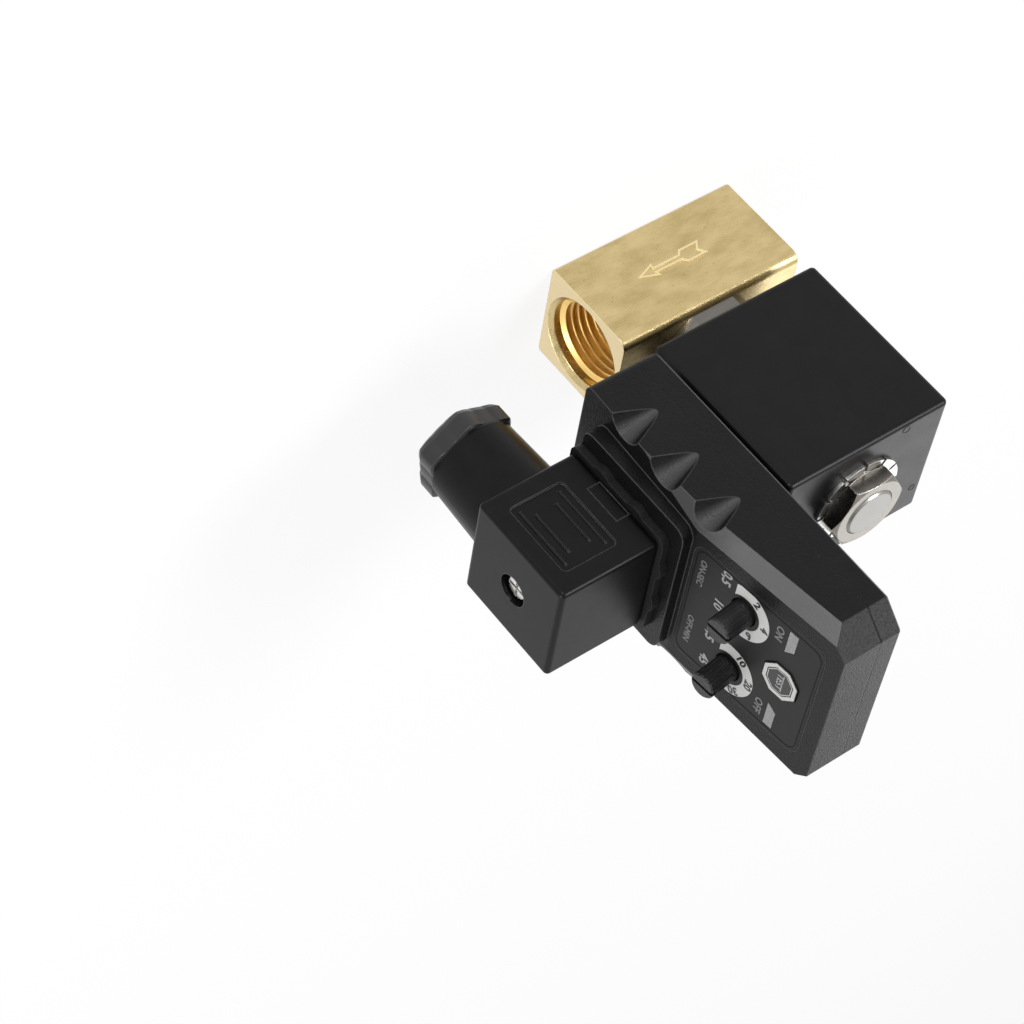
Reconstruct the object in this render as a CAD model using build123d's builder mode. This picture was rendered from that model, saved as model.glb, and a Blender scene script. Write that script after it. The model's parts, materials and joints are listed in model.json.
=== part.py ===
"""Automatic drain valve: a direct-acting solenoid valve with a plug-on timer.

A square brass body lies at the bottom with its flow axis along X. The armature
tube stands on it along Z, the encapsulated coil slips over the tube, and the
timer and the cable connector plug onto the coil's terminals one after the
other along +X, all held by one long centre screw.

Frame: origin at the middle of the body's flat bottom, under the tube axis.
+Z up the tube, +X towards the outlet port and the timer, lengths in mm.
"""
import os
from math import atan, cos, degrees, sin, sqrt, tan

from build123d import *

os.makedirs("parts", exist_ok=True)

# ---------------------------------------------------------------- dimensions
# Brass body
body_length = 47.8
body_width = 26.0
body_height = 24.8
body_shoulder_radius = 2.4
body_edge_chamfer = 0.6
port_radius = 10.48
port_mouth_radius = 11.5
port_depth = 12.8
cavity_radius = 9.6
cavity_depth = 9.3
seat_radius = 3.6
seat_height = 3.0
orifice_radius = 2.0
passage_radius = 2.6

# Bonnet and armature tube
bonnet_flange_radius = 12.3
bonnet_flange_height = 3.5
bonnet_flat_width = 22.0
bonnet_hub_radius = 9.0
bonnet_hub_height = 2.5
bonnet_thread_length = 6.9
tube_radius = 6.5
tube_wall = 1.0
tube_lip_radius = 8.6
tube_lip_height = 1.0
thread_clearance = 0.05
tube_clearance = 0.05

# Plunger, fixed core and spring
plunger_clearance = 0.08
plunger_length = 26.7
plunger_stroke = 2.2
core_gap = 0.1
seal_radius = 3.9
seal_height = 2.5
seal_proud = 0.8
spring_radius = 2.2
spring_wire = 0.55
spring_turns = 6
spring_pocket_depth = 12.0
stud_radius = 6.0
shading_ring_radius = 3.6
shading_ring_width = 0.9
shading_ring_depth = 1.2

# Coil
coil_length = 43.4
coil_width = 35.1
coil_height = 43.7
coil_edge_radius = 1.2
coil_wall = 2.0
coil_bore_radius = 6.8
coil_floor = 2.0
yoke_thickness = 2.5
yoke_width = 20.0
bobbin_radius = 14.0
bobbin_flange = 1.2
bobbin_sleeve = 1.2
winding_radius = 13.4
inner_clearance = 0.3

# Washer and nut on the tube's stud
washer_radius = 11.0
washer_thickness = 0.8
washer_slots = 12
washer_slot_width = 0.9
washer_slot_depth = 1.7
nut_across_flats = 17.0
nut_height = 4.0
nut_chamfer = 0.7
stud_proud = 0.4

# Square contact faces shared by coil, timer and connector
connector_size = 27.5
terminal_height = 24.64
boss_size = 26.0
boss_height = 3.3
gasket_thickness = 1.9
gasket_window = 22.6
blade_width = 6.3
blade_thickness = 0.8
blade_reach = 9.0
blade_root = 2.0
line_blade_spacing = 18.0
earth_blade_drop = 8.0
blade_clearance = 0.15

# Timer case
timer_width = 49.7
timer_below_axis = 19.8
timer_above_axis = 58.5
rear_shell_depth = 5.4
front_shell_depth = 13.65
timer_end_depth = 9.4
timer_low_depth = 12.1
panel_bend_above_axis = 18.4
timer_wall = 2.0
timer_corner_radius = 2.0
facet_width = 5.0
facet_height = 5.6
bevel_start_above_axis = -1.1
bevel_bend_width = 4.5
bevel_bend_depth = 1.7
bevel_top_width = 2.3
bevel_top_depth = 3.6
rear_edge_chamfer = 0.6
grip_count = 3
grip_pitch = 13.0
grip_first_below_axis = 6.9
grip_length = 13.5
grip_radius = 5.4
grip_offset = 1.4
collar_width = 39.0
collar_below_axis = 14.2
collar_above_axis = 18.0
collar_height = 2.6
collar_corner_radius = 3.0

# Control panel, measured from the bend up the sloping face
faceplate_half_width = 17.2
faceplate_start = 0.9
faceplate_end = 36.2
faceplate_thickness = 0.5
faceplate_corner_radius = 3.0
knob_row = 15.35
knob_half_spacing = 9.5
knob_radius = 3.0
knob_height = 7.5
knob_slot_width = 0.9
knob_slot_depth = 1.6
knob_clearance = 0.3
knob_flutes = 12
spindle_radius = 2.0
spindle_clearance = 0.06
button_row = 28.0
button_across_flats = 9.0
button_proud = 0.3
button_clearance = 0.2
button_flange = 0.8
window_row = 26.8
window_height = 2.3
window_inner = 8.9
window_outer = 15.7
window_slant = 1.6
window_clearance = 0.1
board_drop = 7.0
board_thickness = 1.6
board_length = 36.0
board_half_width = 17.5
pot_size = 9.5
switch_size = 6.0
switch_height = 3.1
led_radius = 1.5
led_height = 4.0

# Cable connector and its gland
connector_depth = 24.3
connector_edge_radius = 1.1
connector_wall = 2.0
connector_front_wall = 4.5
side_panel_length = 13.4
side_panel_height = 18.4
side_panel_depth = 0.5
side_panel_set_back = 10.7
screw_recess_radius = 3.7
screw_head_radius = 2.9
screw_head_height = 2.0
screw_radius = 1.5
screw_clearance = 0.3
screw_o_ring_wire = 0.6
connector_gasket_size = 29.8
connector_gasket_swell = 0.9
connector_gasket_swell_radius = 4.0
connector_gasket_swell_pitch = 11.0
barrel_root_radius = 11.1
barrel_end_radius = 10.3
barrel_length = 17.3
barrel_bore_radius = 8.0
barrel_set_back = 13.2
gland_nut_radius = 11.1
gland_nut_height = 6.5
gland_nut_lobes = 8
cable_radius = 4.0
gland_seal_height = 6.0
gland_washer_height = 0.6

# ------------------------------------------------------------ derived places
flow_axis_z = body_height / 2
cavity_floor_z = body_height - cavity_depth
seat_top_z = cavity_floor_z + seat_height
bonnet_bottom_z = body_height - bonnet_thread_length
tube_bottom_z = bonnet_bottom_z - tube_lip_height
coil_bottom_z = body_height + bonnet_flange_height + bonnet_hub_height
coil_top_z = coil_bottom_z + coil_height
tube_top_z = coil_top_z - 0.6
tube_bore_radius = tube_radius - tube_wall
plunger_radius = tube_bore_radius - plunger_clearance
plunger_bottom_z = seat_top_z + seal_proud
plunger_top_z = plunger_bottom_z + plunger_length
core_bottom_z = plunger_top_z + plunger_stroke + core_gap
nut_bottom_z = coil_top_z + washer_thickness
stud_top_z = nut_bottom_z + nut_height + stud_proud

axis_z = coil_bottom_z + terminal_height
coil_face_x = coil_length / 2
boss_face_x = coil_face_x + boss_height
timer_rear_x = boss_face_x + gasket_thickness
parting_x = timer_rear_x + rear_shell_depth
timer_front_x = parting_x + front_shell_depth
collar_face_x = timer_front_x + collar_height
connector_rear_x = collar_face_x + gasket_thickness
connector_front_x = connector_rear_x + connector_depth
timer_half_width = timer_width / 2
timer_bottom_z = axis_z - timer_below_axis
timer_top_z = axis_z + timer_above_axis
bend_z = axis_z + panel_bend_above_axis
panel_end_x = parting_x + timer_end_depth
cavity_half_width = timer_half_width - (grip_radius - grip_offset) - 0.8

# Planes: the contact faces look along +X with Y across, the panel slopes back.
panel_slope = atan((timer_front_x - panel_end_x) / (timer_top_z - bend_z))
panel_normal = Vector(cos(panel_slope), 0, sin(panel_slope))
panel_plane = Plane(origin=(timer_front_x, 0, bend_z), x_dir=(0, 1, 0), z_dir=panel_normal)
low_front_x = parting_x + timer_low_depth
block_slope = atan((timer_front_x - low_front_x) / (bend_z - timer_bottom_z))
block_normal = Vector(cos(block_slope), 0, -sin(block_slope))
block_plane = Plane(origin=(timer_front_x, 0, bend_z), x_dir=(0, 1, 0), z_dir=block_normal)


def face_plane(x, z=axis_z):
    """Plane across the X axis at x, its own x along +Y and its y along +Z."""
    return Plane(origin=(x, 0, z), x_dir=(0, 1, 0), z_dir=(1, 0, 0))


def blade_spots():
    """Centres of the two line blades and the earth blade on a contact face."""
    half = line_blade_spacing / 2
    return [(-half, 0), (half, 0)], (0, -earth_blade_drop)


def add_blades(start_x, length, clearance=0.0, mode=Mode.ADD):
    """Three flat blades, or the slots for them, from start_x along +X."""
    line_spots, earth_spot = blade_spots()
    thin = blade_thickness + 2 * clearance
    wide = blade_width + 2 * clearance
    with BuildSketch(face_plane(start_x)) as blades:
        with Locations(*line_spots):
            Rectangle(thin, wide)
        with Locations(earth_spot):
            Rectangle(wide, thin)
    extrude(blades.sketch, amount=length, mode=mode)


def timer_outline(inset=0.0):
    """The timer seen along X: upright, with a facet across each top corner."""
    half = timer_half_width - inset
    low = -timer_below_axis + inset
    high = timer_above_axis - inset
    with BuildLine() as outline:
        Polyline(
            (-half, low),
            (half, low),
            (half, high - facet_height),
            (half - facet_width, high),
            (-half + facet_width, high),
            (-half, high - facet_height),
            close=True,
        )
    make_face(outline.edges())


def window_outline(side, gap=0.0):
    """One indicator window: straight outer end, inner end slanting away upwards."""
    inner = window_inner - gap
    outer = window_outer + gap
    low = window_row - gap
    high = window_row + window_height + gap
    with BuildLine() as outline:
        Polyline(
            (side * inner, low),
            (side * outer, low),
            (side * outer, high),
            (side * (inner + window_slant), high),
            close=True,
        )
    make_face(outline.edges())


def finish(builder, name):
    """Label a finished piece and write it."""
    builder.part.label = name
    export_step(builder.part, f"parts/{name}.step")


# ----------------------------------------------------------------- valve body
with BuildPart() as valve_body:
    with BuildSketch():
        Rectangle(body_length, body_width)
    extrude(amount=body_height)
    long_edges = valve_body.edges().filter_by(Axis.X)
    fillet(long_edges.group_by(Axis.Z)[-1], radius=body_shoulder_radius)
    chamfer(valve_body.edges().filter_by(Axis.X).group_by(Axis.Z)[0], length=body_edge_chamfer)
    # A port in each end face: thread bore, drill point and a 45 degree mouth.
    for side in (1, -1):
        end_plane = Plane(
            origin=(side * body_length / 2, 0, flow_axis_z), x_dir=(0, 1, 0), z_dir=(side, 0, 0)
        )
        with BuildSketch(end_plane):
            Circle(port_radius)
        extrude(amount=-port_depth, mode=Mode.SUBTRACT)
        mouth_edge = (
            valve_body.faces().sort_by(Axis.X)[-1 if side > 0 else 0].inner_wires()[0].edges()
        )
        chamfer(mouth_edge, length=port_mouth_radius - port_radius)
    # Threaded well for the bonnet with the seat standing on its floor.
    with BuildSketch(Plane.XY.offset(body_height)):
        Circle(cavity_radius)
    extrude(amount=-cavity_depth, mode=Mode.SUBTRACT)
    with BuildSketch(Plane.XY.offset(cavity_floor_z)):
        Circle(seat_radius)
    extrude(amount=seat_height)
    # Orifice down to the outlet, and a riser from the inlet to the well.
    with BuildSketch(Plane.XY.offset(seat_top_z)):
        Circle(orifice_radius)
    extrude(amount=flow_axis_z - seat_top_z, mode=Mode.SUBTRACT)
    with BuildSketch(face_plane(0, flow_axis_z)):
        Circle(passage_radius)
    extrude(amount=body_length / 2 - port_depth / 2, mode=Mode.SUBTRACT)
    riser_x = -(seat_radius + cavity_radius) / 2
    with BuildSketch(face_plane(riser_x, flow_axis_z)):
        Circle(passage_radius)
    extrude(amount=-(body_length / 2 - port_depth / 2 + riser_x), mode=Mode.SUBTRACT)
    with BuildSketch(Plane.XY.offset(cavity_floor_z)):
        with Locations((riser_x, 0)):
            Circle(passage_radius - 0.2)
    extrude(amount=flow_axis_z - cavity_floor_z, mode=Mode.SUBTRACT)
finish(valve_body, "valve_body")

# ------------------------------------------------- bonnet, tube and its seal
with BuildPart() as bonnet:
    with BuildSketch(Plane.XY.offset(bonnet_bottom_z)):
        Circle(cavity_radius - thread_clearance)
    extrude(amount=bonnet_thread_length)
    with BuildSketch(Plane.XY.offset(body_height)):
        Circle(bonnet_flange_radius)
        Rectangle(2 * bonnet_flange_radius, bonnet_flat_width, mode=Mode.INTERSECT)
    extrude(amount=bonnet_flange_height)
    with BuildSketch(Plane.XY.offset(body_height + bonnet_flange_height)):
        Circle(bonnet_hub_radius)
    extrude(amount=bonnet_hub_height)
    with BuildSketch(Plane.XY.offset(bonnet_bottom_z)):
        Circle(tube_radius + tube_clearance)
    extrude(amount=coil_bottom_z - bonnet_bottom_z, mode=Mode.SUBTRACT)
finish(bonnet, "bonnet")

o_ring_wire = (tube_bottom_z - cavity_floor_z) / 2 - 0.01
with BuildPart() as body_o_ring:
    with BuildSketch(Plane.XZ):
        with Locations((cavity_radius - o_ring_wire - 0.3, (cavity_floor_z + tube_bottom_z) / 2)):
            Circle(o_ring_wire)
    revolve(axis=Axis.Z)
finish(body_o_ring, "body_o_ring")

with BuildPart() as armature_tube:
    with BuildSketch(Plane.XY.offset(tube_bottom_z)):
        Circle(tube_lip_radius)
    extrude(amount=tube_lip_height)
    with BuildSketch(Plane.XY.offset(bonnet_bottom_z)):
        Circle(tube_radius)
    extrude(amount=tube_top_z - bonnet_bottom_z)
    with BuildSketch(Plane.XY.offset(tube_bottom_z)):
        Circle(tube_bore_radius)
    extrude(amount=tube_top_z - tube_bottom_z, mode=Mode.SUBTRACT)
finish(armature_tube, "armature_tube")

# ----------------------------------------------- fixed core and shading ring
with BuildPart() as fixed_core:
    with BuildSketch(Plane.XY.offset(core_bottom_z)):
        Circle(tube_bore_radius)
    extrude(amount=tube_top_z - core_bottom_z)
    with BuildSketch(Plane.XY.offset(tube_top_z)):
        Circle(stud_radius)
    extrude(amount=stud_top_z - tube_top_z)
    chamfer(fixed_core.faces().sort_by(Axis.Z)[-1].edges(), length=0.5)
    with BuildSketch(Plane.XY.offset(core_bottom_z)):
        Circle(shading_ring_radius + shading_ring_width / 2)
        Circle(shading_ring_radius - shading_ring_width / 2, mode=Mode.SUBTRACT)
    extrude(amount=shading_ring_depth, mode=Mode.SUBTRACT)
finish(fixed_core, "fixed_core")

with BuildPart() as shading_ring:
    with BuildSketch(Plane.XY.offset(core_bottom_z)):
        Circle(shading_ring_radius + shading_ring_width / 2)
        Circle(shading_ring_radius - shading_ring_width / 2, mode=Mode.SUBTRACT)
    extrude(amount=shading_ring_depth)
finish(shading_ring, "shading_ring")

# ------------------------------------------------- plunger, seal and spring
with BuildPart() as plunger:
    with BuildSketch(Plane.XY.offset(plunger_bottom_z)):
        Circle(plunger_radius)
    extrude(amount=plunger_length)
    # Pressure relief flats along two sides.
    with BuildSketch(Plane.XY.offset(plunger_bottom_z)):
        with Locations((0, plunger_radius), (0, -plunger_radius)):
            Rectangle(2 * plunger_radius, 0.8)
    extrude(amount=plunger_length, mode=Mode.SUBTRACT)
    with BuildSketch(Plane.XY.offset(plunger_bottom_z)):
        Circle(seal_radius)
    extrude(amount=seal_height - seal_proud, mode=Mode.SUBTRACT)
    with BuildSketch(Plane.XY.offset(plunger_top_z)):
        Circle(spring_radius + spring_wire)
    extrude(amount=-spring_pocket_depth, mode=Mode.SUBTRACT)
finish(plunger, "plunger")

with BuildPart() as plunger_seal:
    with BuildSketch(Plane.XY.offset(seat_top_z)):
        Circle(seal_radius)
    extrude(amount=seal_height)
finish(plunger_seal, "plunger_seal")

spring_bottom_z = plunger_top_z - spring_pocket_depth + spring_wire / 2
spring_length = core_bottom_z - spring_wire / 2 - spring_bottom_z
with BuildPart() as plunger_spring:
    with BuildLine(Plane.XY.offset(spring_bottom_z)) as spring_line:
        Helix(pitch=spring_length / spring_turns, height=spring_length, radius=spring_radius)
    with BuildSketch(Plane(spring_line.line @ 0, z_dir=spring_line.line % 0)):
        Rectangle(spring_wire, spring_wire)
    sweep(is_frenet=True)
finish(plunger_spring, "plunger_spring")

# ----------------------------------------------------------------------- coil
with BuildPart() as coil_housing:
    with BuildSketch(Plane.XY.offset(coil_bottom_z)):
        Rectangle(coil_length, coil_width)
    extrude(amount=coil_height)
    fillet(coil_housing.edges(), radius=coil_edge_radius)
    # Terminal boss on the front face.
    with BuildSketch(face_plane(coil_face_x - coil_edge_radius)):
        RectangleRounded(boss_size, boss_size, radius=coil_edge_radius)
    extrude(amount=boss_height + coil_edge_radius)
    # Room for the yoke and winding, open below; the bore for the tube above.
    with BuildSketch(Plane.XY.offset(coil_bottom_z)):
        Rectangle(coil_length - 2 * coil_wall, coil_width - 2 * coil_wall)
    extrude(amount=coil_height - coil_wall, mode=Mode.SUBTRACT)
    with BuildSketch(Plane.XY.offset(coil_bottom_z)):
        Circle(coil_bore_radius)
    extrude(amount=coil_height, mode=Mode.SUBTRACT)
    add_blades(coil_face_x - coil_wall, boss_height + coil_wall, mode=Mode.SUBTRACT)
    with BuildSketch(face_plane(boss_face_x)):
        Circle(screw_radius)
    extrude(amount=-boss_height - coil_wall, mode=Mode.SUBTRACT)
finish(coil_housing, "coil_housing")

inner_length = coil_length - 2 * coil_wall - 2 * inner_clearance
yoke_bottom_z = coil_bottom_z + coil_floor
yoke_top_z = coil_top_z - coil_wall - inner_clearance
with BuildPart() as coil_base_plate:
    with BuildSketch(Plane.XY.offset(coil_bottom_z)):
        Rectangle(coil_length - 2 * coil_wall, coil_width - 2 * coil_wall)
        Circle(coil_bore_radius, mode=Mode.SUBTRACT)
    extrude(amount=coil_floor)
finish(coil_base_plate, "coil_base_plate")

with BuildPart() as coil_yoke:
    with BuildSketch(Plane.XZ.offset(-yoke_width / 2)):
        with Locations((0, (yoke_bottom_z + yoke_top_z) / 2)):
            Rectangle(inner_length, yoke_top_z - yoke_bottom_z)
            Rectangle(
                inner_length - 2 * yoke_thickness,
                yoke_top_z - yoke_bottom_z - 2 * yoke_thickness,
                mode=Mode.SUBTRACT,
            )
    extrude(amount=yoke_width)
    with BuildSketch(Plane.XY.offset(yoke_bottom_z)):
        Circle(coil_bore_radius)
    extrude(amount=yoke_top_z - yoke_bottom_z, mode=Mode.SUBTRACT)
finish(coil_yoke, "coil_yoke")

bobbin_bottom_z = yoke_bottom_z + yoke_thickness
bobbin_height = yoke_top_z - yoke_thickness - bobbin_bottom_z
with BuildPart() as coil_bobbin:
    with BuildSketch(Plane.XY.offset(bobbin_bottom_z)):
        Circle(coil_bore_radius + bobbin_sleeve)
    extrude(amount=bobbin_height)
    for flange_z in (bobbin_bottom_z, bobbin_bottom_z + bobbin_height - bobbin_flange):
        with BuildSketch(Plane.XY.offset(flange_z)):
            Circle(bobbin_radius)
        extrude(amount=bobbin_flange)
    with BuildSketch(Plane.XY.offset(bobbin_bottom_z)):
        Circle(coil_bore_radius)
    extrude(amount=bobbin_height, mode=Mode.SUBTRACT)
finish(coil_bobbin, "coil_bobbin")

with BuildPart() as coil_winding:
    with BuildSketch(Plane.XY.offset(bobbin_bottom_z + bobbin_flange)):
        Circle(winding_radius)
        Circle(coil_bore_radius + bobbin_sleeve, mode=Mode.SUBTRACT)
    extrude(amount=bobbin_height - 2 * bobbin_flange)
finish(coil_winding, "coil_winding")

with BuildPart() as coil_terminals:
    add_blades(coil_face_x - coil_wall, boss_height + coil_wall + gasket_thickness + blade_reach)
finish(coil_terminals, "coil_terminals")

with BuildPart() as coil_gasket:
    with BuildSketch(face_plane(boss_face_x)):
        RectangleRounded(connector_size, connector_size, radius=coil_edge_radius)
        RectangleRounded(gasket_window, gasket_window, radius=1.0, mode=Mode.SUBTRACT)
    extrude(amount=gasket_thickness)
finish(coil_gasket, "coil_gasket")

# ------------------------------------------------------- lock washer and nut
with BuildPart() as lock_washer:
    with BuildSketch(Plane.XY.offset(coil_top_z)):
        Circle(washer_radius)
        Circle(stud_radius + 0.3, mode=Mode.SUBTRACT)
        with PolarLocations(washer_radius - washer_slot_depth / 2, washer_slots):
            Rectangle(washer_slot_depth + 0.4, washer_slot_width, mode=Mode.SUBTRACT)
    extrude(amount=washer_thickness)
finish(lock_washer, "lock_washer")

with BuildPart() as coil_nut:
    with BuildSketch(Plane.XY.offset(nut_bottom_z)):
        RegularPolygon(nut_across_flats / 2, 6, major_radius=False)
    extrude(amount=nut_height)
    # Both ends turned down to a 30 degree chamfer, as on a bar-stock nut.
    corner_radius = nut_across_flats / sqrt(3)
    with BuildSketch(Plane.XZ):
        with BuildLine():
            Polyline(
                (0, nut_bottom_z),
                (nut_across_flats / 2, nut_bottom_z),
                (corner_radius, nut_bottom_z + nut_chamfer),
                (corner_radius, nut_bottom_z + nut_height - nut_chamfer),
                (nut_across_flats / 2, nut_bottom_z + nut_height),
                (0, nut_bottom_z + nut_height),
                close=True,
            )
        make_face()
    revolve(axis=Axis.Z, mode=Mode.INTERSECT)
    with BuildSketch(Plane.XY.offset(nut_bottom_z)):
        Circle(stud_radius + thread_clearance)
    extrude(amount=nut_height, mode=Mode.SUBTRACT)
finish(coil_nut, "coil_nut")

# ----------------------------------------------------------------- timer case
socket_size = gasket_window - 1.0
with BuildPart() as timer_rear_shell:
    with BuildSketch(face_plane(timer_rear_x)):
        timer_outline()
    extrude(amount=rear_shell_depth)
    bottom_corners = timer_rear_shell.edges().filter_by(Axis.X).group_by(Axis.Z)[0]
    fillet(bottom_corners, radius=timer_corner_radius)
    rear_rim = timer_rear_shell.faces().sort_by(Axis.X)[0].edges()
    chamfer(rear_rim, length=rear_edge_chamfer)
    with BuildSketch(face_plane(parting_x)):
        timer_outline(inset=timer_wall)
    extrude(amount=timer_wall - rear_shell_depth, mode=Mode.SUBTRACT)
    with BuildSketch(face_plane(timer_rear_x)):
        Rectangle(socket_size + 2 * inner_clearance, socket_size + 2 * inner_clearance)
    extrude(amount=rear_shell_depth, mode=Mode.SUBTRACT)
finish(timer_rear_shell, "timer_rear_shell")

with BuildPart() as timer_front_shell:
    with BuildSketch(face_plane(parting_x)):
        timer_outline()
    extrude(amount=front_shell_depth)
    bottom_corners = timer_front_shell.edges().filter_by(Axis.X).group_by(Axis.Z)[0]
    fillet(bottom_corners, radius=timer_corner_radius)
    # The front rises to the bend and slopes back again above it.
    for slope_plane in (panel_plane, block_plane):
        with BuildSketch(slope_plane):
            Rectangle(2 * timer_width, 3 * timer_above_axis)
        extrude(amount=front_shell_depth, mode=Mode.SUBTRACT)
    # A bevel down each side of the panel narrows upwards, and runs out on the
    # block below the bend. It is cut by a triangle that changes with height.
    start_z = axis_z + bevel_start_above_axis
    start_x = timer_front_x - (bend_z - start_z) * tan(block_slope)
    for side in (1, -1):
        edge_y = side * timer_half_width
        bend_cut = Vector(bevel_bend_depth, -side * bevel_bend_width)
        top_cut = Vector(bevel_top_depth, -side * bevel_top_width)
        for z, edge_x, cut in (
            (start_z, start_x, bend_cut),
            (bend_z, timer_front_x - bevel_bend_depth, bend_cut),
            (timer_top_z, panel_end_x - bevel_top_depth, top_cut),
        ):
            edge = Vector(edge_x, edge_y)
            front_end = edge + cut * 2
            side_end = edge - cut
            with BuildSketch(Plane.XY.offset(z)):
                with BuildLine():
                    Polyline(
                        (front_end.X, front_end.Y),
                        (side_end.X, side_end.Y),
                        (front_end.X, side_end.Y),
                        close=True,
                    )
                make_face()
        loft(ruled=True, mode=Mode.SUBTRACT)
    # Collar that the connector's gasket sits on.
    with BuildSketch(face_plane(collar_face_x)):
        with Locations((0, (collar_above_axis - collar_below_axis) / 2)):
            RectangleRounded(
                collar_width, collar_above_axis + collar_below_axis, radius=collar_corner_radius
            )
    extrude(amount=-collar_height - timer_wall)
    # Finger grips: cones lying along both sides and running out at the front.
    for side in (1, -1):
        for index in range(grip_count):
            grip_z = axis_z - grip_first_below_axis + index * grip_pitch
            grip_plane = Plane(
                origin=(timer_front_x + 1.0, side * (timer_half_width + grip_offset), grip_z),
                x_dir=(0, 1, 0),
                z_dir=(-1, 0, 0),
            )
            with BuildSketch(grip_plane):
                Circle(grip_radius)
            extrude(
                amount=grip_length,
                taper=degrees(atan((grip_radius - 0.2) / grip_length)),
                mode=Mode.SUBTRACT,
            )
    # Hollow inside, a straight block below the bend and a sloping one above.
    with BuildSketch(Plane.XZ.offset(-cavity_half_width)):
        with BuildLine():
            Polyline(
                (parting_x, timer_bottom_z + timer_wall),
                (low_front_x - timer_wall, timer_bottom_z + timer_wall),
                (timer_front_x - timer_wall, bend_z),
                (panel_end_x - timer_wall, timer_top_z - timer_wall),
                (parting_x, timer_top_z - timer_wall),
                close=True,
            )
        make_face()
    extrude(amount=2 * cavity_half_width, mode=Mode.SUBTRACT)
    # Window for the plug, recess for the faceplate, openings for the controls.
    with BuildSketch(face_plane(collar_face_x)):
        Rectangle(socket_size + 2 * inner_clearance, socket_size + 2 * inner_clearance)
    extrude(amount=-front_shell_depth, mode=Mode.SUBTRACT)
    with BuildSketch(panel_plane):
        with Locations((0, (faceplate_start + faceplate_end) / 2)):
            RectangleRounded(
                2 * faceplate_half_width + 0.2,
                faceplate_end - faceplate_start + 0.2,
                radius=faceplate_corner_radius + 0.1,
            )
    extrude(amount=-faceplate_thickness, mode=Mode.SUBTRACT)
    with BuildSketch(panel_plane):
        with Locations((-knob_half_spacing, knob_row), (knob_half_spacing, knob_row)):
            Circle(knob_radius + knob_clearance)
        with Locations((0, button_row)):
            RegularPolygon(
                button_across_flats / 2 + button_clearance, 8, major_radius=False, rotation=22.5
            )
        for side in (1, -1):
            window_outline(side, window_clearance)
    extrude(amount=-2 * timer_wall, mode=Mode.SUBTRACT)
finish(timer_front_shell, "timer_front_shell")


# ------------------------------------------------- faceplate and its controls
with BuildPart() as timer_faceplate:
    with BuildSketch(panel_plane.offset(-faceplate_thickness)):
        with Locations((0, (faceplate_start + faceplate_end) / 2)):
            RectangleRounded(
                2 * faceplate_half_width,
                faceplate_end - faceplate_start,
                radius=faceplate_corner_radius,
            )
        with Locations((-knob_half_spacing, knob_row), (knob_half_spacing, knob_row)):
            Circle(knob_radius + knob_clearance, mode=Mode.SUBTRACT)
        with Locations((0, button_row)):
            RegularPolygon(
                button_across_flats / 2 + button_clearance,
                8,
                major_radius=False,
                rotation=22.5,
                mode=Mode.SUBTRACT,
            )
    extrude(amount=faceplate_thickness)
    with BuildSketch(panel_plane):
        for side in (1, -1):
            window_outline(side, window_clearance)
    extrude(amount=-faceplate_thickness, mode=Mode.SUBTRACT)
finish(timer_faceplate, "timer_faceplate")

board_face = panel_plane.offset(-board_drop)
with BuildPart() as circuit_board:
    with BuildSketch(board_face):
        with Locations((0, board_length / 2)):
            Rectangle(2 * board_half_width, board_length)
    extrude(amount=-board_thickness)
finish(circuit_board, "circuit_board")

pot_height = board_drop - timer_wall - faceplate_thickness
for side, name in ((-1, "on_time"), (1, "off_time")):
    spot = (side * knob_half_spacing, knob_row)
    with BuildPart() as potentiometer:
        with BuildSketch(board_face):
            with Locations(spot):
                Rectangle(pot_size, pot_size)
                Circle(spindle_radius + spindle_clearance, mode=Mode.SUBTRACT)
        extrude(amount=pot_height)
    finish(potentiometer, f"{name}_potentiometer")

    with BuildPart() as knob:
        with BuildSketch(board_face.offset(0.3)):
            with Locations(spot):
                Circle(spindle_radius)
        extrude(amount=board_drop - 0.3)
        with BuildSketch(panel_plane.offset(-timer_wall)):
            with Locations(spot):
                Circle(knob_radius)
        extrude(amount=timer_wall + knob_height)
        chamfer(knob.faces().sort_by(Axis.X)[-1].edges(), length=0.35)
        # Knurled grip and a screwdriver slot across the end.
        with BuildSketch(panel_plane.offset(0.8)):
            with Locations(spot):
                with PolarLocations(knob_radius, knob_flutes):
                    Rectangle(0.4, 0.4)
        extrude(amount=knob_height, mode=Mode.SUBTRACT)
        with BuildSketch(panel_plane.offset(knob_height)):
            with Locations(spot):
                Rectangle(knob_slot_width, 2 * knob_radius)
        extrude(amount=-knob_slot_depth, mode=Mode.SUBTRACT)
    finish(knob, f"{name}_knob")

button_floor = panel_plane.offset(-timer_wall - faceplate_thickness - 0.1)
with BuildPart() as test_switch:
    with BuildSketch(board_face):
        with Locations((0, button_row)):
            Rectangle(switch_size, switch_size)
    extrude(amount=switch_height)
finish(test_switch, "test_switch")

with BuildPart() as test_button:
    with BuildSketch(button_floor):
        with Locations((0, button_row)):
            RegularPolygon(button_across_flats / 2, 8, major_radius=False, rotation=22.5)
    extrude(amount=timer_wall + faceplate_thickness + 0.1 + button_proud)
    with BuildSketch(button_floor):
        with Locations((0, button_row)):
            RegularPolygon(button_across_flats / 2 + 1.0, 8, major_radius=False, rotation=22.5)
    extrude(amount=-button_flange)
finish(test_button, "test_button")

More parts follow.
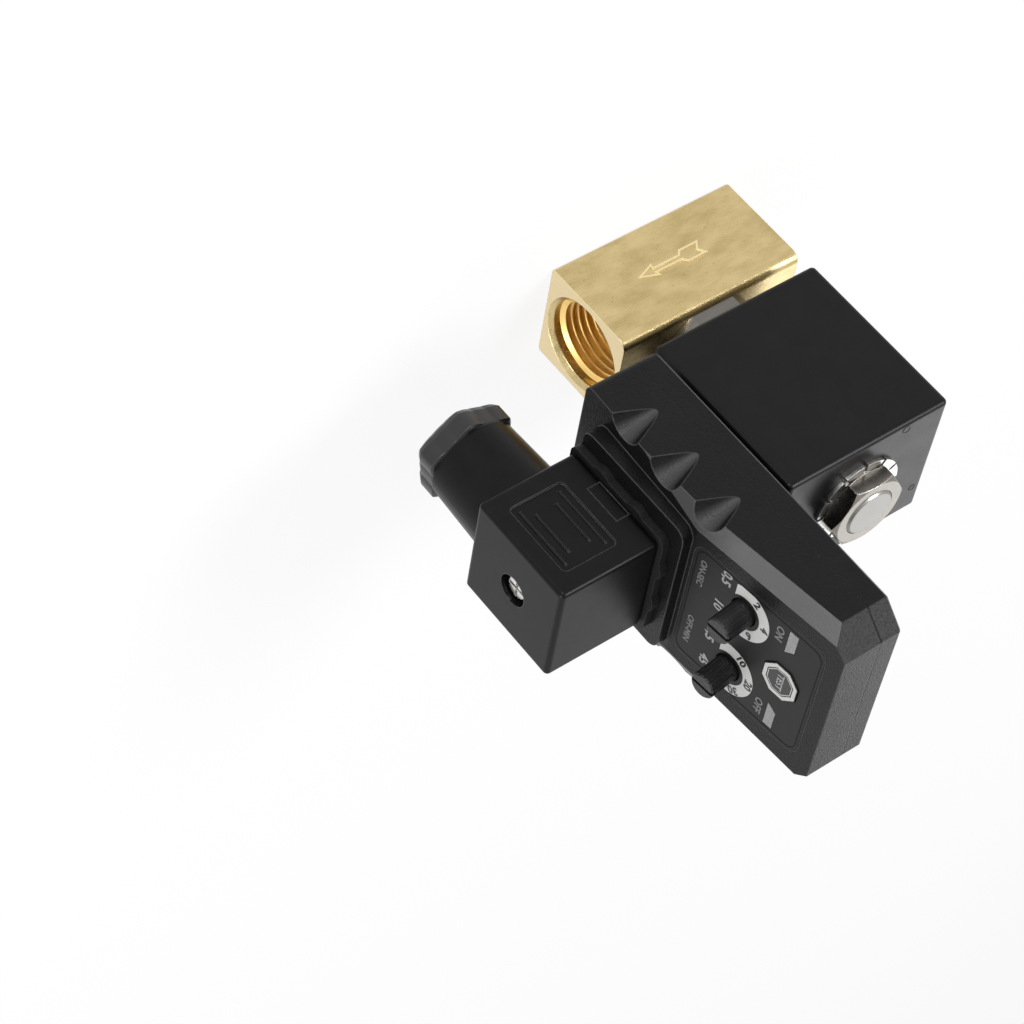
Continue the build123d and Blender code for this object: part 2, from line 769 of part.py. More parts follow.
for side, name in ((-1, "on"), (1, "off")):
    window_centre = side * (window_inner + window_outer + window_slant / 2) / 2
    with BuildPart() as window:
        with BuildSketch(panel_plane.offset(-timer_wall - faceplate_thickness)):
            window_outline(side)
        extrude(amount=timer_wall + faceplate_thickness)
    finish(window, f"{name}_window")

    with BuildPart() as led:
        with BuildSketch(board_face):
            with Locations((window_centre, window_row + window_height / 2)):
                Circle(led_radius)
        extrude(amount=led_height)
        chamfer(led.faces().sort_by(Axis.X)[-1].edges(), length=led_radius / 2)
    finish(led, f"{name}_led")

# ---------------------------------------- contacts inside the timer's two ends
contact_wall = 0.6
with BuildPart() as timer_socket:
    with BuildSketch(face_plane(timer_rear_x)):
        Rectangle(socket_size, socket_size)
        Circle(screw_radius + screw_clearance, mode=Mode.SUBTRACT)
    extrude(amount=blade_reach + 1.0)
    add_blades(timer_rear_x, blade_reach + 1.0, clearance=contact_wall, mode=Mode.SUBTRACT)
finish(timer_socket, "timer_socket")

with BuildPart() as timer_socket_contacts:
    add_blades(timer_rear_x + 0.2, blade_reach + 0.6, clearance=contact_wall - 0.05)
    add_blades(timer_rear_x, blade_reach + 0.3, clearance=blade_clearance, mode=Mode.SUBTRACT)
finish(timer_socket_contacts, "timer_socket_contacts")

plug_depth = collar_height + timer_wall + 1.5
with BuildPart() as timer_plug:
    with BuildSketch(face_plane(collar_face_x)):
        Rectangle(socket_size, socket_size)
        Circle(screw_radius + screw_clearance, mode=Mode.SUBTRACT)
    extrude(amount=-plug_depth)
    add_blades(collar_face_x - plug_depth, plug_depth, mode=Mode.SUBTRACT)
finish(timer_plug, "timer_plug")

with BuildPart() as timer_blades:
    add_blades(collar_face_x - plug_depth - blade_root, plug_depth + blade_root)
    add_blades(collar_face_x, gasket_thickness + blade_reach)
finish(timer_blades, "timer_blades")

# ------------------------------------------------------------ cable connector
with BuildPart() as connector_gasket:
    with BuildSketch(face_plane(collar_face_x)):
        RectangleRounded(connector_gasket_size, connector_gasket_size, radius=2.0)
        # The lip swells twice along each side, so that it shows past the housing.
        reach = connector_gasket_size / 2 + connector_gasket_swell - connector_gasket_swell_radius
        for half in (connector_gasket_swell_pitch / 2, -connector_gasket_swell_pitch / 2):
            with Locations((half, reach), (half, -reach), (reach, half), (-reach, half)):
                Circle(connector_gasket_swell_radius)
        RectangleRounded(gasket_window, gasket_window, radius=1.0, mode=Mode.SUBTRACT)
    extrude(amount=gasket_thickness)
finish(connector_gasket, "connector_gasket")

connector_mid_x = connector_front_x - barrel_set_back
connector_bottom_z = axis_z - connector_size / 2
barrel_end_z = connector_bottom_z - barrel_length
insert_depth = connector_depth - connector_front_wall
insert_size = connector_size - 2 * connector_wall
with BuildPart() as connector_housing:
    with BuildSketch(face_plane(connector_rear_x)):
        Rectangle(connector_size, connector_size)
    extrude(amount=connector_depth)
    # Tapered cable barrel hanging from the lower side.
    with BuildSketch(Plane((connector_mid_x, 0, connector_bottom_z + connector_wall))):
        Circle(barrel_root_radius)
    with BuildSketch(Plane((connector_mid_x, 0, barrel_end_z))):
        Circle(barrel_end_radius)
    loft()
    box_edges = connector_housing.edges().filter_by(GeomType.LINE)
    outer_edges = box_edges.filter_by(lambda edge: edge.length > connector_depth - 1.0)
    fillet(outer_edges, radius=connector_edge_radius)
    with BuildSketch(face_plane(connector_rear_x)):
        Rectangle(insert_size, insert_size)
    extrude(amount=insert_depth, mode=Mode.SUBTRACT)
    # Screw recess in the front, and the bore of the barrel.
    with BuildSketch(face_plane(connector_front_x)):
        Circle(screw_recess_radius)
    extrude(amount=-connector_front_wall + 0.8, mode=Mode.SUBTRACT)
    with BuildSketch(face_plane(connector_front_x)):
        Circle(screw_radius + screw_clearance)
    extrude(amount=-connector_front_wall, mode=Mode.SUBTRACT)
    with BuildSketch(Plane((connector_mid_x, 0, barrel_end_z))):
        Circle(barrel_bore_radius)
    extrude(amount=barrel_length - gland_seal_height / 2, mode=Mode.SUBTRACT)
    with BuildSketch(Plane((connector_mid_x, 0, barrel_end_z))):
        Circle(cable_radius + 1.0)
    extrude(amount=barrel_length + connector_wall + 0.1, mode=Mode.SUBTRACT)
    # Sunk panels on both flanks.
    for side in (1, -1):
        panel_x = connector_front_x - side_panel_set_back
        flank = Plane(
            origin=(panel_x, side * connector_size / 2, axis_z), x_dir=(1, 0, 0), z_dir=(0, side, 0)
        )
        with BuildSketch(flank):
            RectangleRounded(side_panel_length, side_panel_height, radius=1.2)
        extrude(amount=-side_panel_depth, mode=Mode.SUBTRACT)
finish(connector_housing, "connector_housing")

with BuildPart() as connector_insert:
    with BuildSketch(face_plane(connector_rear_x)):
        Rectangle(insert_size - 2 * inner_clearance, insert_size - 2 * inner_clearance)
        Circle(screw_radius + screw_clearance, mode=Mode.SUBTRACT)
    extrude(amount=insert_depth - 3.0)
    add_blades(connector_rear_x, insert_depth, clearance=contact_wall, mode=Mode.SUBTRACT)
finish(connector_insert, "connector_insert")

with BuildPart() as connector_contacts:
    add_blades(connector_rear_x + 0.2, insert_depth - 3.4, clearance=contact_wall - 0.05)
    add_blades(
        connector_rear_x, blade_reach + 0.3, clearance=blade_clearance, mode=Mode.SUBTRACT
    )
finish(connector_contacts, "connector_contacts")

# ------------------------------------------------------ gland: seal, ring, nut
seal_top_z = connector_bottom_z - gland_seal_height / 2
with BuildPart() as gland_seal:
    with BuildSketch(Plane((connector_mid_x, 0, seal_top_z))):
        Circle(barrel_bore_radius - 0.1)
        Circle(cable_radius, mode=Mode.SUBTRACT)
    extrude(amount=-gland_seal_height)
finish(gland_seal, "gland_seal")

with BuildPart() as gland_washer:
    with BuildSketch(Plane((connector_mid_x, 0, seal_top_z - gland_seal_height))):
        Circle(barrel_bore_radius - 0.2)
        Circle(cable_radius + 0.5, mode=Mode.SUBTRACT)
    extrude(amount=-gland_washer_height)
finish(gland_washer, "gland_washer")

spigot_top_z = seal_top_z - gland_seal_height - gland_washer_height
with BuildPart() as gland_nut:
    with BuildSketch(Plane((connector_mid_x, 0, barrel_end_z))):
        Circle(gland_nut_radius)
    extrude(amount=-gland_nut_height)
    rim = gland_nut.faces().sort_by(Axis.Z)[0].edges()
    chamfer(rim, length=1.8)
    # Wrench lobes: shallow flats between them from the lower end upwards.
    with BuildSketch(Plane((connector_mid_x, 0, barrel_end_z - gland_nut_height))):
        with PolarLocations(gland_nut_radius + 0.3, gland_nut_lobes):
            RectangleRounded(1.9, 3.6, radius=0.7)
    extrude(amount=gland_nut_height - 1.4, mode=Mode.SUBTRACT)
    with BuildSketch(Plane((connector_mid_x, 0, barrel_end_z))):
        Circle(barrel_bore_radius - thread_clearance)
    extrude(amount=spigot_top_z - barrel_end_z)
    with BuildSketch(Plane((connector_mid_x, 0, spigot_top_z))):
        Circle(cable_radius + 0.8)
    extrude(amount=-gland_nut_height - 30.0, mode=Mode.SUBTRACT)
finish(gland_nut, "gland_nut")

# --------------------------------------------------------- long centre screw
head_seat_x = connector_front_x - connector_front_wall + 0.8
with BuildPart() as centre_screw:
    with BuildSketch(face_plane(head_seat_x + screw_o_ring_wire)):
        Circle(screw_head_radius)
    extrude(amount=screw_head_height)
    fillet(centre_screw.faces().sort_by(Axis.X)[-1].edges(), radius=0.5)
    with BuildSketch(face_plane(head_seat_x + screw_o_ring_wire)):
        Circle(screw_radius)
    extrude(amount=coil_face_x - head_seat_x - screw_o_ring_wire + 0.5)
    with BuildSketch(face_plane(head_seat_x + screw_o_ring_wire + screw_head_height)):
        Rectangle(0.7, 4.6)
        Rectangle(4.6, 0.7)
    extrude(amount=-1.0, mode=Mode.SUBTRACT)
finish(centre_screw, "centre_screw")

with BuildPart() as screw_washer:
    with BuildSketch(face_plane(head_seat_x)):
        Circle(screw_head_radius + 0.3)
        Circle(screw_radius + 0.1, mode=Mode.SUBTRACT)
    extrude(amount=screw_o_ring_wire)
finish(screw_washer, "screw_washer")
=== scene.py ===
import json
from math import acos, ceil, cos, pi, radians, sin

import bmesh
import bpy
from mathutils import Matrix, Vector


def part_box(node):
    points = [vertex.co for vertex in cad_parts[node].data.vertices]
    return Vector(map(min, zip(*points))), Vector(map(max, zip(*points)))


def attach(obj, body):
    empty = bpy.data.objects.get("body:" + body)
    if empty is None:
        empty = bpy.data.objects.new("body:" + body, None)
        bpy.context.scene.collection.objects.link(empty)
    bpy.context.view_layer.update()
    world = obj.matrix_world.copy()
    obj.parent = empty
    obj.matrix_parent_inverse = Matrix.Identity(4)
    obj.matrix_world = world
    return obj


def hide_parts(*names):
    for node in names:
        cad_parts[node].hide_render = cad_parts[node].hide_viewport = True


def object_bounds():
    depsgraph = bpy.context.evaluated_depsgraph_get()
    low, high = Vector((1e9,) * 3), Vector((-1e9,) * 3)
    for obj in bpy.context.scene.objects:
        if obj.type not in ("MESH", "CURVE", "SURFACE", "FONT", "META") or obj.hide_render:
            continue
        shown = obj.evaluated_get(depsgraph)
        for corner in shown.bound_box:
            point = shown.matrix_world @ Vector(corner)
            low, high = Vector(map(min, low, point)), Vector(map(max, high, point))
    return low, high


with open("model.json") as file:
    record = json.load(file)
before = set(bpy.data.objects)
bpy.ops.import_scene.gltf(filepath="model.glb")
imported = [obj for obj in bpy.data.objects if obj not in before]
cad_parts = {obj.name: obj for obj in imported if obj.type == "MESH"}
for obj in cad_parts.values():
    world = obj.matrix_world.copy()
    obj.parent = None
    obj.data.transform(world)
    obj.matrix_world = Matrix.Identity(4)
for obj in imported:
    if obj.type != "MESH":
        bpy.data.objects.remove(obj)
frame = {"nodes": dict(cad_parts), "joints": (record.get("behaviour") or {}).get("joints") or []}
cad_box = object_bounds()
nodes = frame["nodes"]
joints = {joint["name"]: joint for joint in frame["joints"]}
MM = 0.001

# ------------------------------------------------------------------- camera
# A long lens above the label side, a good half turn rolled, so that the coil
# lies to the right and the timer hangs towards the lower right corner.
camera_place = Vector((345.06, -508.75, 318.30)) * MM
camera_azimuth = radians(29.014)
camera_elevation = radians(25.59)
camera_roll = radians(138.381)
camera_data = bpy.data.cameras.new("camera")
camera_data.lens = 111.83
camera_data.sensor_width = 36.0
camera_data.clip_start = 0.01
camera = bpy.data.objects.new("camera", camera_data)
bpy.context.scene.collection.objects.link(camera)
turned = Matrix.Rotation(camera_azimuth, 4, "Z") @ Matrix.Rotation(pi / 2 - camera_elevation, 4, "X")
camera.matrix_world = (
    Matrix.Translation(camera_place) @ turned @ Matrix.Rotation(camera_roll, 4, "Z")
)
bpy.context.scene.camera = camera
bpy.context.scene.view_settings.view_transform = "Standard"


# ------------------------------------------------------- floor, air and lamps
# A white table in a white room. The eye and mirrors see it as white, while it
# sends the object only a soft grey light, and four softboxes do the rest.
class Wire:
    """One output of a node. Arithmetic on it adds the Math nodes that do it."""

    def __init__(self, shading, socket):
        self.shading = shading
        self.socket = socket

    def math(self, operation, first, second):
        return self.shading.node("ShaderNodeMath", {"operation": operation}, {0: first, 1: second})

    def __add__(self, other):
        return self.math("ADD", self, other)

    def __sub__(self, other):
        return self.math("SUBTRACT", self, other)

    def __rsub__(self, other):
        return self.math("SUBTRACT", other, self)

    def __mul__(self, other):
        return self.math("MULTIPLY", self, other)

    def __gt__(self, other):
        return self.math("GREATER_THAN", self, other)

    __radd__ = __add__
    __rmul__ = __mul__


class Shading:
    """The node tree of one material, or of the world, while it is being made."""

    def __init__(self, owner):
        owner.use_nodes = True
        self.tree = owner.node_tree

    def node(self, kind, settings, inputs, output=0):
        made = self.tree.nodes.new(kind)
        for key, value in settings.items():
            if key == "stops":
                elements = made.color_ramp.elements
                while len(elements) < len(value):
                    elements.new(0.5)
                for element, (position, color) in zip(elements, value):
                    element.position = position
                    element.color = (*color, 1.0)
            else:
                setattr(made, key, value)
        for key, value in inputs.items():
            self.join(made.inputs[key], value)
        return Wire(self, made.outputs[output])

    def join(self, socket, value):
        if isinstance(value, Wire):
            self.tree.links.new(value.socket, socket)
        elif isinstance(value, tuple) and socket.type == "RGBA":
            socket.default_value = (*value, 1.0)
        else:
            socket.default_value = value

    def seen(self):
        """1 for the rays of the eye, of mirrors and of glass, 0 for other light."""
        straight = self.node("ShaderNodeLightPath", {}, {}, "Is Camera Ray")
        mirrored = self.node("ShaderNodeLightPath", {}, {}, "Is Glossy Ray")
        through = self.node("ShaderNodeLightPath", {}, {}, "Is Transmission Ray")
        either = straight + mirrored
        clamped = {"operation": "ADD", "use_clamp": True}
        return self.node("ShaderNodeMath", clamped, {0: either, 1: through})


air_light = 0.55
world = bpy.data.worlds.new("white_room")
bpy.context.scene.world = world
room = Shading(world)
room.join(room.tree.nodes["Background"].inputs["Strength"], room.seen() * (1 - air_light) + air_light)
room.join(room.tree.nodes["Background"].inputs["Color"], (1.0, 1.0, 1.0))

table_white = (0.9, 0.9, 0.9)
table_share = 0.86
table_reach = 3.0
table_gap = 0.02 * MM
table_mesh = bpy.data.meshes.new("table")
table_sheet = bmesh.new()
bmesh.ops.create_grid(table_sheet, x_segments=1, y_segments=1, size=table_reach)
table_sheet.to_mesh(table_mesh)
table_sheet.free()
table = bpy.data.objects.new("table", table_mesh)
bpy.context.scene.collection.objects.link(table)
table.location.z = -table_gap
table_material = bpy.data.materials.new("table_white")
table_mesh.materials.append(table_material)
paint = Shading(table_material)
matt = paint.node("ShaderNodeBsdfDiffuse", {}, {"Color": table_white})
bright = paint.node("ShaderNodeEmission", {}, {"Color": (1.0, 1.0, 1.0), "Strength": 1.0})
shown = paint.node("ShaderNodeMixShader", {}, {0: paint.seen() * table_share, 1: matt, 2: bright})
paint.join(paint.tree.nodes["Material Output"].inputs["Surface"], shown)

middle = (cad_box[0] + cad_box[1]) / 2
for lamp_name, direction, reach, width, watts in (
    ("softbox_behind", (-0.62, 0.72, 0.36), 0.60, 0.20, 0.18),
    ("softbox_over", (-0.44, -0.40, 0.80), 0.70, 0.26, 3.2),
    ("softbox_right", (0.95, 0.10, 0.22), 0.60, 0.22, 1.6),
    ("softbox_low", (0.42, -0.90, 0.02), 0.50, 0.10, 1.1),
):
    lamp_data = bpy.data.lights.new(lamp_name, "AREA")
    lamp_data.energy = watts
    lamp_data.size = width
    lamp = bpy.data.objects.new(lamp_name, lamp_data)
    bpy.context.scene.collection.objects.link(lamp)
    lamp.location = middle + Vector(direction).normalized() * reach
    lamp.rotation_euler = (middle - lamp.location).to_track_quat("-Z", "Y").to_euler()


# --------------------------------------------------------------- brass body
# Square bar of free-cutting brass, dull along its sides, faced bright at both
# ends and bored for G 1/2 from them. Its flow arrow stands a little proud.
class Finish(Shading):
    """The finish of one part: a Principled shader and the nodes that vary it."""

    def __init__(self, name, metallic=0.0, specular=0.5):
        self.material = bpy.data.materials.new(name)
        super().__init__(self.material)
        self.shader = self.tree.nodes["Principled BSDF"]
        self.place = self.node("ShaderNodeTexCoord", {}, {}, "Object")
        self.feed("Metallic", metallic)
        self.feed("Specular IOR Level", specular)

    def feed(self, socket_name, value):
        self.join(self.shader.inputs[socket_name], value)

    def grain(self, size, detail=2.0, stretch=(1.0, 1.0, 1.0)):
        """Noise from 0 to 1 whose spots are size metres across, before stretch."""
        spread = tuple(1.0 / (size * side) for side in stretch)
        where = self.node(
            "ShaderNodeVectorMath", {"operation": "MULTIPLY"}, {0: self.place, 1: spread}
        )
        return self.node("ShaderNodeTexNoise", {}, {"Vector": where, "Scale": 1.0, "Detail": detail})

    def blend(self, share, first, second):
        """Colour that goes from first to second as share goes from 0 to 1."""
        return self.node(
            "ShaderNodeMix", {"data_type": "RGBA"}, {0: share, 6: first, 7: second}, 2
        )

    def ramp(self, share, *stops):
        """Share put through a colour ramp with stops of (position, colour)."""
        return self.node("ShaderNodeValToRGB", {"stops": stops}, {"Fac": share})

    def relief(self, height, depth, rounding=0.0):
        """Bumps depth metres high, on edges that look rounded off by rounding."""
        inputs = {"Height": height, "Distance": depth, "Strength": 1.0}
        if rounding:
            inputs["Normal"] = self.node("ShaderNodeBevel", {"samples": 6}, {"Radius": rounding})
        self.feed("Normal", self.node("ShaderNodeBump", {}, inputs))

    def edges(self, reach):
        """1 on an outer or inner edge, falling to 0 about reach metres from it."""
        rounded = self.node("ShaderNodeBevel", {"samples": 6}, {"Radius": reach})
        flat = self.node("ShaderNodeNewGeometry", {}, {}, "Normal")
        alike = self.node(
            "ShaderNodeVectorMath", {"operation": "DOT_PRODUCT"}, {0: rounded, 1: flat}, "Value"
        )
        return self.node(
            "ShaderNodeMath", {"operation": "MULTIPLY", "use_clamp": True}, {0: 1 - alike, 1: 6.0}
        )


def clad(finish, *names):
    """Gives CAD nodes a finish."""
    for name in names:
        for material_slot in nodes[name].material_slots:
            material_slot.material = finish.material


def piece(name, sheet, finish, body):
    """Makes a piece from a bmesh in the frame, riding on a body."""
    mesh = bpy.data.meshes.new(name)
    bmesh.ops.recalc_face_normals(sheet, faces=sheet.faces)
    sheet.to_mesh(mesh)
    sheet.free()
    mesh.materials.append(finish.material)
    made = bpy.data.objects.new(name, mesh)
    bpy.context.scene.collection.objects.link(made)
    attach(made, body)
    return made


def plate(sheet, rim, hole, low, high, at):
    """A flat frame from low to high between two closed outlines of as many points."""
    loops = [
        [sheet.verts.new(at @ Vector((x, y, height))) for x, y in outline]
        for outline, height in ((rim, low), (rim, high), (hole, high), (hole, low))
    ]
    for inner, outer in zip(loops, loops[1:] + loops[:1]):
        for i in range(len(rim)):
            j = (i + 1) % len(rim)
            sheet.faces.new((inner[i], inner[j], outer[j], outer[i]))


def inset(points, distance):
    """The closed outline, counter-clockwise, moved inwards by distance."""
    moved = []
    for before, here, after in zip(points[-1:] + points[:-1], points, points[1:] + points[:1]):
        first = (Vector(here) - Vector(before)).normalized()
        second = (Vector(after) - Vector(here)).normalized()
        corner = Vector((-first.y - second.y, first.x + second.x))
        lean = corner.dot(Vector((-first.y, first.x)))
        moved.append(tuple(Vector(here) + corner * distance / lean))
    return moved


brass = Finish("brass_body", metallic=1.0)
stain = brass.grain(3.5 * MM, detail=8.0, stretch=(2.0, 1.0, 1.0))
milling = brass.grain(0.14 * MM, detail=3.0, stretch=(30.0, 1.0, 1.0))
pits = brass.grain(0.7 * MM, detail=6.0) > 0.68
# The edges are coloured a brighter brass. This is partly rubbed bright and partly a painted highlight.
worn_and_highlit_edges = brass.edges(0.35 * MM)
facing = brass.node("ShaderNodeNewGeometry", {}, {}, "Normal")
facing_x = brass.node("ShaderNodeSeparateXYZ", {}, {"Vector": facing}, "X")
faced_end = facing_x * facing_x > 0.9
dull = brass.ramp(
    stain * 0.7 + milling * 0.3, (0.36, (0.50, 0.385, 0.175)), (0.62, (0.66, 0.52, 0.265))
)
pitted = brass.blend(pits * 0.5, dull, (0.30, 0.21, 0.08))
ends = brass.blend(faced_end * 0.9, pitted, (0.86, 0.70, 0.42))
brass.feed("Base Color", brass.blend(worn_and_highlit_edges * 0.8, ends, (0.95, 0.83, 0.52)))
brass.feed("Roughness", stain * 0.12 + milling * 0.16 + 0.14)
brass.relief(milling + stain * 0.5, 0.025 * MM, rounding=0.3 * MM)
clad(brass, "valve_body")

body_low, body_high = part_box("valve_body")
flow_z = (body_low.z + body_high.z) / 2

arrow_drop = 0.7 * MM
arrow_shaft_half = 0.8 * MM
arrow_head_half = 1.9 * MM
arrow_tip_x = 10.2 * MM
arrow_neck_x = 5.4 * MM
arrow_feather_x = -1.4 * MM
arrow_tail_x = -7.7 * MM
arrow_feather_run = 0.9 * MM
arrow_barb = 0.3 * MM
arrow_notch = 1.4 * MM
arrow_line = 0.46 * MM
arrow_sunk = 0.05 * MM
arrow_proud = 0.16 * MM
arrow_lower_side = [
    (arrow_tail_x, -arrow_head_half),
    (arrow_feather_x - arrow_feather_run, -arrow_head_half),
    (arrow_feather_x, -arrow_shaft_half),
    (arrow_neck_x, -arrow_shaft_half),
    (arrow_neck_x - arrow_barb, -arrow_head_half),
]
arrow_rim = arrow_lower_side + [(arrow_tip_x, 0.0)]
arrow_rim += [(x, -y) for x, y in reversed(arrow_lower_side)]
arrow_rim += [(arrow_tail_x + arrow_notch, 0.0)]
side_face = Matrix.Translation((0, body_low.y, flow_z - arrow_drop)) @ Matrix.Rotation(pi / 2, 4, "X")
arrow_brass = Finish("arrow_brass", metallic=1.0)
rubbed = arrow_brass.grain(0.4 * MM)
arrow_brass.feed("Base Color", arrow_brass.blend(rubbed, (0.80, 0.62, 0.32), (0.95, 0.82, 0.52)))
arrow_brass.feed("Roughness", rubbed * 0.2 + 0.18)
arrow_brass.relief(rubbed, 0.01 * MM)
arrow_sheet = bmesh.new()
plate(arrow_sheet, arrow_rim, inset(arrow_rim, arrow_line), -arrow_sunk, arrow_proud, side_face)
piece("flow_arrow", arrow_sheet, arrow_brass, "valve")

# ------------------------------------------------------------- port threads
# G 1/2 female thread, cut by a tap: ridges that run in from the countersunk
# mouth and fade out at the bottom of each bore. They are for looks only and
# wind left-handed here, while the real thread is right-handed.
thread_pitch = 1.814 * MM
thread_root = 10.52 * MM
thread_crest = 9.32 * MM
thread_crest_width = 0.32 * MM
thread_base_width = 1.66 * MM
thread_depth = 12.2 * MM
thread_start = 2.0 * MM
thread_fade = 0.5
thread_least = 0.02
thread_steps = 72
thread_turns = (thread_depth - thread_start) / thread_pitch
thread_brass = Finish("thread_brass", metallic=1.0)
swarf = thread_brass.grain(0.3 * MM, stretch=(1.0, 6.0, 6.0))
thread_brass.feed("Base Color", thread_brass.blend(swarf, (0.93, 0.58, 0.16), (1.0, 0.80, 0.36)))
thread_brass.feed("Roughness", swarf * 0.18 + 0.28)
thread_brass.relief(swarf, 0.01 * MM)
for side, name in ((1, "outlet_thread"), (-1, "inlet_thread")):
    sheet = bmesh.new()
    rings = []
    count = ceil(thread_turns * thread_steps)
    for step in range(count + 1):
        turn = step / thread_steps
        angle = 2 * pi * turn
        full = min(1.0, turn / thread_fade, (thread_turns - turn) / thread_fade)
        crest = thread_root + (thread_crest - thread_root) * max(full, thread_least)
        along = body_high.x - thread_start - turn * thread_pitch
        ring = []
        for shift, radius in (
            (thread_base_width / 2, thread_root),
            (thread_crest_width / 2, crest),
            (-thread_crest_width / 2, crest),
            (-thread_base_width / 2, thread_root),
        ):
            spot = Vector((side * (along + shift), side * radius * cos(angle), radius * sin(angle)))
            ring.append(sheet.verts.new(spot + Vector((0, 0, flow_z))))
        rings.append(ring)
    for here, after in zip(rings, rings[1:]):
        for i in range(4):
            j = (i + 1) % 4
            sheet.faces.new((here[i], here[j], after[j], after[i]))
    sheet.faces.new(rings[0])
    sheet.faces.new(rings[-1])
    piece(name, sheet, thread_brass, "valve")

# ------------------------------------------------- bonnet and armature tube
# Turned stainless bonnet screwed into the body over an O-ring, with the drawn
# and polished stainless tube held under it by its lip.
# Painted shade: the stainless is coloured near black for the dark gap between body and coil where the
# bonnet shows.
shaded_bonnet_steel = Finish("shaded_bonnet_steel", metallic=1.0)
turning = shaded_bonnet_steel.grain(0.12 * MM, stretch=(60.0, 60.0, 1.0))
shaded_bonnet_steel.feed("Base Color", shaded_bonnet_steel.blend(turning, (0.10, 0.09, 0.085), (0.24, 0.23, 0.21)))
shaded_bonnet_steel.feed("Roughness", turning * 0.16 + 0.20)
shaded_bonnet_steel.relief(turning, 0.008 * MM, rounding=0.25 * MM)
clad(shaded_bonnet_steel, "bonnet")

tube_steel = Finish("tube_steel", metallic=1.0)
drawn = tube_steel.grain(0.1 * MM, stretch=(1.0, 1.0, 50.0))
tube_steel.feed("Base Color", tube_steel.blend(drawn, (0.22, 0.22, 0.22), (0.40, 0.40, 0.40)))
tube_steel.feed("Roughness", drawn * 0.15 + 0.25)
tube_steel.relief(drawn, 0.006 * MM, rounding=0.2 * MM)
clad(tube_steel, "armature_tube")

rubber = Finish("seal_rubber", specular=0.35)
bloom = rubber.grain(0.5 * MM, detail=4.0)
rubber.feed("Base Color", rubber.blend(bloom, (0.010, 0.010, 0.011), (0.026, 0.026, 0.028)))
rubber.feed("Roughness", bloom * 0.25 + 0.45)
rubber.relief(rubber.grain(0.12 * MM), 0.01 * MM)
clad(rubber, "body_o_ring", "plunger_seal", "gland_seal")

# --------------------------------------------- plunger, fixed core and spring
# Magnetic stainless bar: the core fills the tube's top, the plunger slides
# below it with a rubber seal in its nose and a spring behind.
core_steel = Finish("core_steel", metallic=1.0)
lathe = core_steel.grain(0.15 * MM, stretch=(40.0, 40.0, 1.0))
core_steel.feed("Base Color", core_steel.blend(lathe, (0.20, 0.195, 0.185), (0.33, 0.32, 0.30)))
core_steel.feed("Roughness", lathe * 0.2 + 0.24)
core_steel.relief(lathe, 0.008 * MM, rounding=0.25 * MM)
clad(core_steel, "fixed_core", "plunger")

spring_steel = Finish("spring_steel", metallic=1.0)
drawn_wire = spring_steel.grain(0.2 * MM, detail=3.0)
spring_steel.feed("Base Color", spring_steel.blend(drawn_wire, (0.38, 0.38, 0.39), (0.62, 0.62, 0.63)))
spring_steel.feed("Roughness", drawn_wire * 0.2 + 0.2)
spring_steel.relief(drawn_wire, 0.006 * MM)
clad(spring_steel, "plunger_spring")

copper = Finish("bare_copper", metallic=1.0)
tarnish = copper.grain(1.2 * MM, detail=4.0)
copper.feed("Base Color", copper.blend(tarnish, (0.60, 0.24, 0.12), (0.86, 0.42, 0.24)))
copper.feed("Roughness", tarnish * 0.3 + 0.2)
copper.relief(copper.grain(0.2 * MM), 0.006 * MM)
clad(copper, "shading_ring")

# --------------------------------------------------------------------- coil
# Winding on a nylon bobbin in an iron yoke, all cast in black glass-filled
# nylon. The mould leaves a satin skin, soft edges and two round marks on top.
coil_nylon = Finish("coil_nylon", specular=0.18)
flow_marks = coil_nylon.grain(5 * MM, detail=4.0)
fibre = coil_nylon.grain(0.22 * MM, detail=3.0)
# Painted highlight: the housing's edges are coloured pale grey.
coil_edge_highlight = coil_nylon.edges(0.35 * MM)
skin = coil_nylon.blend(flow_marks, (0.001, 0.001, 0.0013), (0.004, 0.004, 0.0044))
coil_nylon.feed("Base Color", coil_nylon.blend(coil_edge_highlight * 0.6, skin, (0.11, 0.11, 0.112)))
coil_nylon.feed("Roughness", flow_marks * 0.12 + fibre * 0.10 + 0.20)
coil_nylon.relief(fibre + flow_marks * 0.6, 0.02 * MM, rounding=0.5 * MM)
clad(coil_nylon, "coil_housing")

coil_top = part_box("coil_housing")[1].z
ejector_spot = Vector((-10.4 * MM, -15.2 * MM, coil_top))
vent_spot = Vector((-19.0 * MM, 10.1 * MM, coil_top))
mark_sunk = 0.1 * MM
mark_proud = 0.07 * MM


def circle(radius, count=32, start=0.0, end=2 * pi):
    """Points along a circle, or along an arc with both its ends."""
    whole = abs(end - start - 2 * pi) < 1e-6
    steps = count if whole else count - 1
    angles = [start + (end - start) * i / steps for i in range(count)]
    return [(radius * cos(angle), radius * sin(angle)) for angle in angles]


marks_sheet = bmesh.new()
for spot, outer, inner in ((ejector_spot, 1.1 * MM, 0.9 * MM), (vent_spot, 0.95 * MM, 0.65 * MM)):
    at = Matrix.Translation(spot)
    plate(marks_sheet, circle(outer), circle(inner), -mark_sunk, mark_proud, at)
piece("coil_mould_marks", marks_sheet, coil_nylon, "valve")

iron = Finish("yoke_iron", metallic=1.0)
zinc_bloom = iron.grain(1.5 * MM, detail=5.0)
iron.feed("Base Color", iron.blend(zinc_bloom, (0.26, 0.26, 0.25), (0.46, 0.46, 0.45)))
iron.feed("Roughness", zinc_bloom * 0.3 + 0.28)
iron.relief(iron.grain(0.2 * MM), 0.01 * MM, rounding=0.2 * MM)
clad(iron, "coil_base_plate", "coil_yoke")

